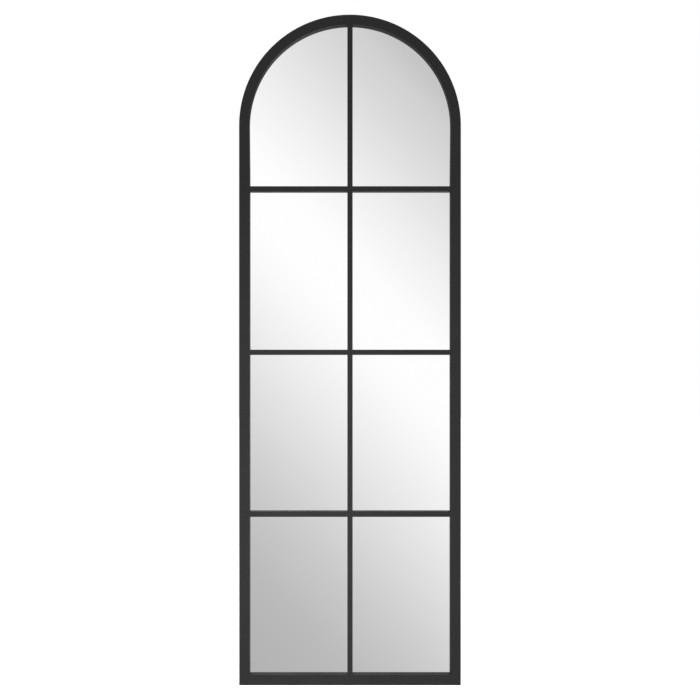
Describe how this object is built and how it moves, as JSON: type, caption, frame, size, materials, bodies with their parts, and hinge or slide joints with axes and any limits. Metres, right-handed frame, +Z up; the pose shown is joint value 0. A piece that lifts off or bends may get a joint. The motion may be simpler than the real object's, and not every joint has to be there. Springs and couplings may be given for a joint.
{
  "type": "arched window mirror",
  "caption": "Tall arched wall mirror behind a black metal window grid, with a rimmed steel frame, backing board and swinging ring hangers on the back.",
  "frame": {"origin": "on the wall plane, midway between the two wall screws or hooks that the raised rings hang on, 1290 mm above the bottom edge", "axes": "+Z up along the stiles, +X to the viewer's right, +Y into the wall; the mirror faces -Y"},
  "size_m": [0.5334, 0.03, 1.6128],
  "materials": {
    "black_powder_coat": "satin",
    "mirror": "polished",
    "black_tape": "matte",
    "foam": "matte",
    "board": "matte",
    "zinc_plate": "satin",
    "black_rubber": "matte"
  },
  "bodies": {
    "frame": {"arch_tube": "black_powder_coat", "left_stile_tube": "black_powder_coat", "right_stile_tube": "black_powder_coat", "bottom_rail_tube": "black_powder_coat", "arch_rim": "black_powder_coat", "left_rim": "black_powder_coat", "right_rim": "black_powder_coat", "bottom_rim": "black_powder_coat", "vertical_muntin": "black_powder_coat", "upper_left_muntin": "black_powder_coat", "upper_right_muntin": "black_powder_coat", "middle_left_muntin": "black_powder_coat", "middle_right_muntin": "black_powder_coat", "lower_left_muntin": "black_powder_coat", "lower_right_muntin": "black_powder_coat", "glazing_tape": "black_tape", "muntin_tape": "black_tape", "mirror_glass": "mirror", "foam_sheet": "foam", "setting_blocks": "black_rubber", "backing_board": "board", "board_lugs": "black_powder_coat", "board_screws": "zinc_plate", "left_hanger_lug": "black_powder_coat", "right_hanger_lug": "black_powder_coat", "left_hanger_strap": "zinc_plate", "right_hanger_strap": "zinc_plate", "hanger_screws": "zinc_plate", "left_bumper": "black_rubber", "right_bumper": "black_rubber"},
    "left_ring": {"left_ring": "zinc_plate"},
    "right_ring": {"right_ring": "zinc_plate"}
  },
  "joints": [
    {"name": "left_ring_swing", "type": "hinge", "parent": "frame", "child": "left_ring", "pos_m": [-0.2545, -0.0052, -0.0105], "axis": [1, 0, 0], "range_deg": [0, 180]},
    {"name": "right_ring_swing", "type": "hinge", "parent": "frame", "child": "right_ring", "pos_m": [0.2545, -0.0052, -0.0105], "axis": [1, 0, 0], "range_deg": [0, 180]}
  ]
}
